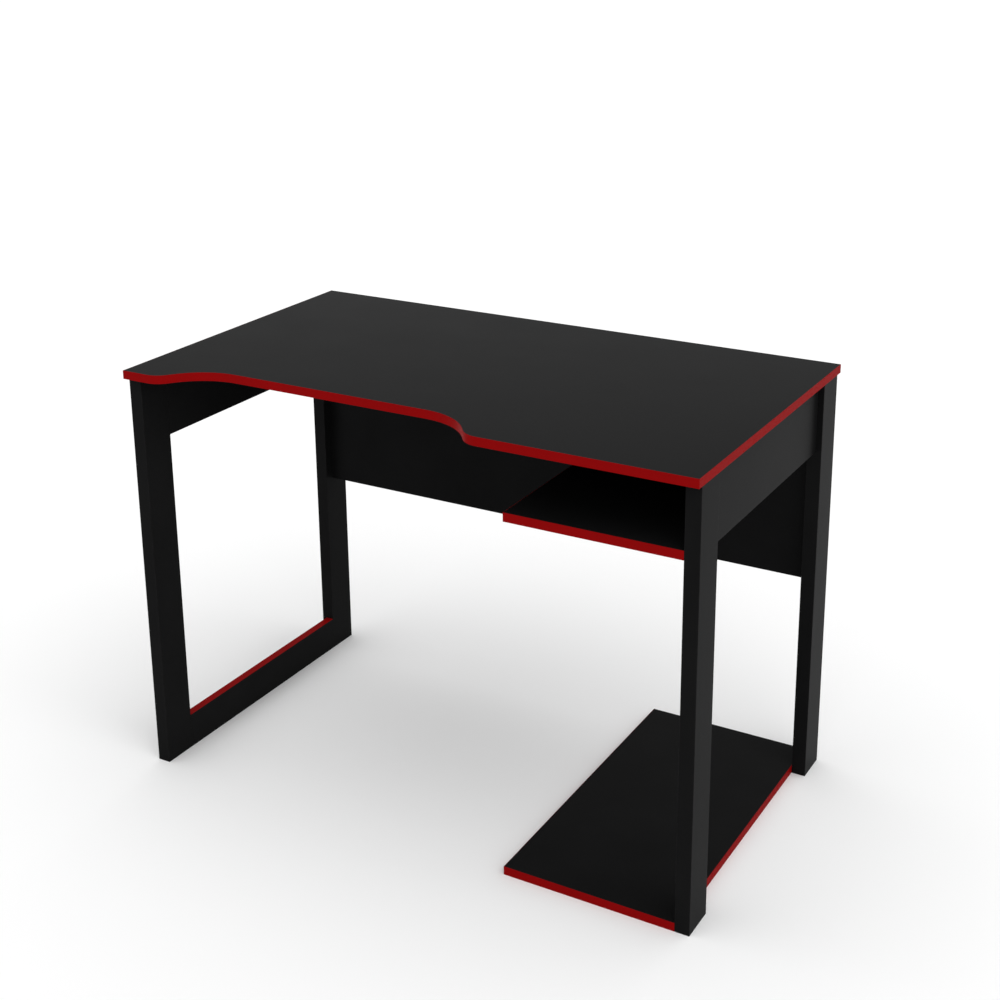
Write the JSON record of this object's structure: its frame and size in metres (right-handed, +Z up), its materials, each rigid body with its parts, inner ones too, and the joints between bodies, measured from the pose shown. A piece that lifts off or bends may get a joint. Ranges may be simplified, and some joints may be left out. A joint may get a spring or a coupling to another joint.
{
  "type": "computer desk",
  "caption": "Black laminated computer desk with red edge bands, recessed front edge, open end frames, modesty panel, side shelf and floor-level tower platform.",
  "frame": {"origin": "on the floor, under the centre of the desktop's outline", "axes": "+X along the width towards the shelf and tower platform, +Y from the user to the back, +Z up"},
  "size_m": [1.055, 0.605, 0.75],
  "materials": {
    "desktop_laminate": "black melamine laminate on chipboard, satin with a fine grain",
    "black_laminate": "black melamine laminate on chipboard, satin",
    "red_edge_band": "red PVC edge band, satin",
    "dowel_wood": "bare beech",
    "steel_bolt": "zinc plated steel",
    "zinc_cam": "cast zinc alloy",
    "cap_plastic": "moulded black plastic"
  },
  "bodies": {
    "root": {"desktop_panel": "desktop_laminate", "left_front_leg": "black_laminate", "left_back_leg": "black_laminate", "left_apron": "black_laminate", "left_bottom_rail": "black_laminate", "right_front_leg": "black_laminate", "right_back_leg": "black_laminate", "right_apron": "black_laminate", "modesty_panel": "black_laminate", "shelf": "black_laminate", "tower_platform": "black_laminate", "desktop_left_edge_band": "red_edge_band", "desktop_right_edge_band": "red_edge_band", "desktop_front_edge_band": "red_edge_band", "desktop_back_edge_band": "black_laminate", "left_rail_edge_band": "red_edge_band", "shelf_front_edge_band": "red_edge_band", "shelf_left_edge_band": "red_edge_band", "platform_left_edge_band": "red_edge_band", "platform_right_edge_band": "red_edge_band", "platform_front_edge_band": "red_edge_band", "frame_dowels": "dowel_wood", "panel_dowels": "dowel_wood", "cam_bolts": "steel_bolt", "cam_locks": "zinc_cam", "cam_cover_caps": "cap_plastic"}
  },
  "joints": []
}
